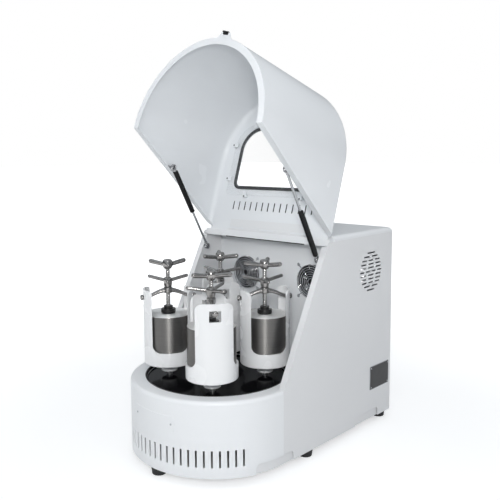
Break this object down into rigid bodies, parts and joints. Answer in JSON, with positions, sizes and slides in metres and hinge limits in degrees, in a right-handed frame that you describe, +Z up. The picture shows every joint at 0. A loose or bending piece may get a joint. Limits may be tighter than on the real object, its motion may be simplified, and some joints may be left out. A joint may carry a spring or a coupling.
{
  "type": "planetary ball mill",
  "caption": "Planetary ball mill: a rounded cabinet whose windowed hood stands open on gas struts over clamped jars that spin on a glossy turntable.",
  "frame": {"origin": "on the floor under the middle of the footprint", "axes": "+X to the machine's right seen from its front, +Y to the back, +Z up"},
  "size_m": [0.47, 0.75, 1.1158],
  "materials": {
    "powder_coat": "fine powder coat",
    "side_coat": "fine powder coat",
    "chamber_coat": "fine powder coat",
    "chassis": "powder coat",
    "foot_rubber": "matt",
    "black_plastic": "matt",
    "cast_housing": "machined casting",
    "motor_paint": "satin paint",
    "belt_rubber": "matt",
    "chrome_wire": "bright",
    "hinge_coat": "powder coat",
    "stud_steel": "satin",
    "black_disc": "mirror gloss",
    "gear_steel": "ground",
    "fan_plastic": "matt",
    "strut_rod": "hard chrome",
    "strut_tube": "satin black",
    "seal_rubber": "matt",
    "clear_pane": "clear sheet",
    "clip_coat": "powder coat",
    "holder_coat": "white powder coat",
    "jar_steel": "brushed stainless",
    "cast_steel": "polished casting",
    "pad_black": "satin"
  },
  "bodies": {
    "base": {"front_shell": "powder_coat", "right_side_panel": "side_coat", "left_side_panel": "side_coat", "tower_top": "powder_coat", "rear_panel": "side_coat", "deck_plate": "powder_coat", "chamber_wall": "chamber_coat", "base_plate": "chassis", "feet": "foot_rubber", "mains_inlet": "black_plastic", "bearing_housing": "cast_housing", "drive_motor": "motor_paint", "drive_belt": "belt_rubber", "fan_frames": "black_plastic", "fan_guards": "chrome_wire", "hinge_base_leaf": "hinge_coat", "strut_base_studs": "stud_steel"},
    "turntable": {"turntable_disc": "black_disc", "main_shaft": "gear_steel"},
    "motor_drive": {"motor_pulley": "gear_steel"},
    "left_fan": {"left_fan_rotor": "fan_plastic"},
    "right_fan": {"right_fan_rotor": "fan_plastic"},
    "left_strut_lower": {"left_strut_rod": "strut_rod"},
    "left_strut_upper": {"left_strut_tube": "strut_tube"},
    "right_strut_lower": {"right_strut_tube": "strut_tube"},
    "right_strut_upper": {"right_strut_rod": "strut_rod"},
    "lid": {"lid_shell": "powder_coat", "window_gasket": "seal_rubber", "window_pane": "clear_pane", "window_clips": "clip_coat", "hinge_lid_leaf": "hinge_coat", "strut_lid_studs": "stud_steel"},
    "station_left": {"planet_drive_left": "gear_steel", "holder_left": "holder_coat", "jar_left": "jar_steel", "clamp_bar_left": "cast_steel"},
    "pad_left": {"clamp_pad_left": "pad_black"},
    "screw_left": {"clamp_screw_left": "cast_steel"},
    "lock_left": {"lock_star_left": "cast_steel"},
    "station_front": {"planet_drive_front": "gear_steel", "holder_front": "holder_coat", "jar_front": "jar_steel", "clamp_bar_front": "cast_steel"},
    "pad_front": {"clamp_pad_front": "pad_black"},
    "screw_front": {"clamp_screw_front": "cast_steel"},
    "lock_front": {"lock_star_front": "cast_steel"},
    "station_right": {"planet_drive_right": "gear_steel", "holder_right": "holder_coat", "jar_right": "jar_steel", "clamp_bar_right": "cast_steel"},
    "pad_right": {"clamp_pad_right": "pad_black"},
    "screw_right": {"clamp_screw_right": "cast_steel"},
    "lock_right": {"lock_star_right": "cast_steel"},
    "station_rear": {"planet_drive_rear": "gear_steel", "holder_rear": "holder_coat", "jar_rear": "jar_steel", "clamp_bar_rear": "cast_steel"},
    "pad_rear": {"clamp_pad_rear": "pad_black"},
    "screw_rear": {"clamp_screw_rear": "cast_steel"},
    "lock_rear": {"lock_star_rear": "cast_steel"}
  },
  "joints": [
    {"name": "lid_hinge", "type": "hinge", "parent": "base", "child": "lid", "pos_m": [0, 0.062, 0.577], "axis": [1, 0, 0], "range_deg": [0, 108]},
    {"name": "turntable_spin", "type": "hinge", "parent": "base", "child": "turntable", "pos_m": [0, -0.14, 0.2], "axis": [0, 0, 1], "continuous": true},
    {"name": "motor_spin", "type": "hinge", "parent": "base", "child": "motor_drive", "pos_m": [0, 0.235, 0.05], "axis": [0, 0, 1], "continuous": true},
    {"name": "left_fan_spin", "type": "hinge", "parent": "base", "child": "left_fan", "pos_m": [-0.125, 0.135, 0.44], "axis": [0, 1, 0], "continuous": true},
    {"name": "right_fan_spin", "type": "hinge", "parent": "base", "child": "right_fan", "pos_m": [0.125, 0.135, 0.44], "axis": [0, 1, 0], "continuous": true},
    {"name": "left_strut_swing", "type": "hinge", "parent": "base", "child": "left_strut_lower", "pos_m": [-0.2085, 0.034, 0.524], "axis": [1, 0, 0], "range_deg": [0, 118.4]},
    {"name": "left_strut_slide", "type": "slide", "parent": "left_strut_lower", "child": "left_strut_upper", "axis": [0, 0.4781, -0.8783], "range_m": [0, 0.0881]},
    {"name": "right_strut_swing", "type": "hinge", "parent": "base", "child": "right_strut_lower", "pos_m": [0.2085, 0.034, 0.524], "axis": [1, 0, 0], "range_deg": [0, 118.4]},
    {"name": "right_strut_slide", "type": "slide", "parent": "right_strut_lower", "child": "right_strut_upper", "axis": [0, 0.4781, -0.8783], "range_m": [0, 0.0881]},
    {"name": "station_left_spin", "type": "hinge", "parent": "turntable", "child": "station_left", "pos_m": [-0.10171, -0.22295, 0.3], "axis": [0, 0, 1], "continuous": true},
    {"name": "pad_left_lift", "type": "slide", "parent": "station_left", "child": "pad_left", "axis": [0, 0, 1], "range_m": [0, 0.008]},
    {"name": "screw_left_turn", "type": "hinge", "parent": "pad_left", "child": "screw_left", "pos_m": [-0.10171, -0.22295, 0.3], "axis": [0, 0, 1], "range_deg": [0, 720.5]},
    {"name": "lock_left_turn", "type": "hinge", "parent": "station_left", "child": "lock_left", "pos_m": [-0.10171, -0.22295, 0.3], "axis": [0, 0, 1], "range_deg": [0, 120]},
    {"name": "station_front_spin", "type": "hinge", "parent": "turntable", "child": "station_front", "pos_m": [0.08295, -0.24171, 0.3], "axis": [0, 0, 1], "continuous": true},
    {"name": "pad_front_lift", "type": "slide", "parent": "station_front", "child": "pad_front", "axis": [0, 0, 1], "range_m": [0, 0.008]},
    {"name": "screw_front_turn", "type": "hinge", "parent": "pad_front", "child": "screw_front", "pos_m": [0.08295, -0.24171, 0.3], "axis": [0, 0, 1], "range_deg": [0, 720.5]},
    {"name": "lock_front_turn", "type": "hinge", "parent": "station_front", "child": "lock_front", "pos_m": [0.08295, -0.24171, 0.3], "axis": [0, 0, 1], "range_deg": [0, 120]},
    {"name": "station_right_spin", "type": "hinge", "parent": "turntable", "child": "station_right", "pos_m": [0.10171, -0.05705, 0.3], "axis": [0, 0, 1], "continuous": true},
    {"name": "pad_right_lift", "type": "slide", "parent": "station_right", "child": "pad_right", "axis": [0, 0, 1], "range_m": [0, 0.008]},
    {"name": "screw_right_turn", "type": "hinge", "parent": "pad_right", "child": "screw_right", "pos_m": [0.10171, -0.05705, 0.3], "axis": [0, 0, 1], "range_deg": [0, 720.5]},
    {"name": "lock_right_turn", "type": "hinge", "parent": "station_right", "child": "lock_right", "pos_m": [0.10171, -0.05705, 0.3], "axis": [0, 0, 1], "range_deg": [0, 120]},
    {"name": "station_rear_spin", "type": "hinge", "parent": "turntable", "child": "station_rear", "pos_m": [-0.08295, -0.03829, 0.3], "axis": [0, 0, 1], "continuous": true},
    {"name": "pad_rear_lift", "type": "slide", "parent": "station_rear", "child": "pad_rear", "axis": [0, 0, 1], "range_m": [0, 0.008]},
    {"name": "screw_rear_turn", "type": "hinge", "parent": "pad_rear", "child": "screw_rear", "pos_m": [-0.08295, -0.03829, 0.3], "axis": [0, 0, 1], "range_deg": [0, 720.5]},
    {"name": "lock_rear_turn", "type": "hinge", "parent": "station_rear", "child": "lock_rear", "pos_m": [-0.08295, -0.03829, 0.3], "axis": [0, 0, 1], "range_deg": [0, 120]}
  ],
  "couplings": [
    {"joint": "motor_spin", "follows": "turntable_spin", "ratio": 1.5},
    {"joint": "left_strut_swing", "follows": "lid_hinge", "ratio": 1.0949},
    {"joint": "left_strut_slide", "follows": "lid_hinge", "m_per_rad": 0.046615},
    {"joint": "right_strut_swing", "follows": "lid_hinge", "ratio": 1.0949},
    {"joint": "right_strut_slide", "follows": "lid_hinge", "m_per_rad": 0.046615},
    {"joint": "station_left_spin", "follows": "turntable_spin", "ratio": 2},
    {"joint": "screw_left_turn", "follows": "pad_left_lift", "rad_per_m": 1570.8},
    {"joint": "station_front_spin", "follows": "turntable_spin", "ratio": 2},
    {"joint": "screw_front_turn", "follows": "pad_front_lift", "rad_per_m": 1570.8},
    {"joint": "station_right_spin", "follows": "turntable_spin", "ratio": 2},
    {"joint": "screw_right_turn", "follows": "pad_right_lift", "rad_per_m": 1570.8},
    {"joint": "station_rear_spin", "follows": "turntable_spin", "ratio": 2},
    {"joint": "screw_rear_turn", "follows": "pad_rear_lift", "rad_per_m": 1570.8}
  ]
}
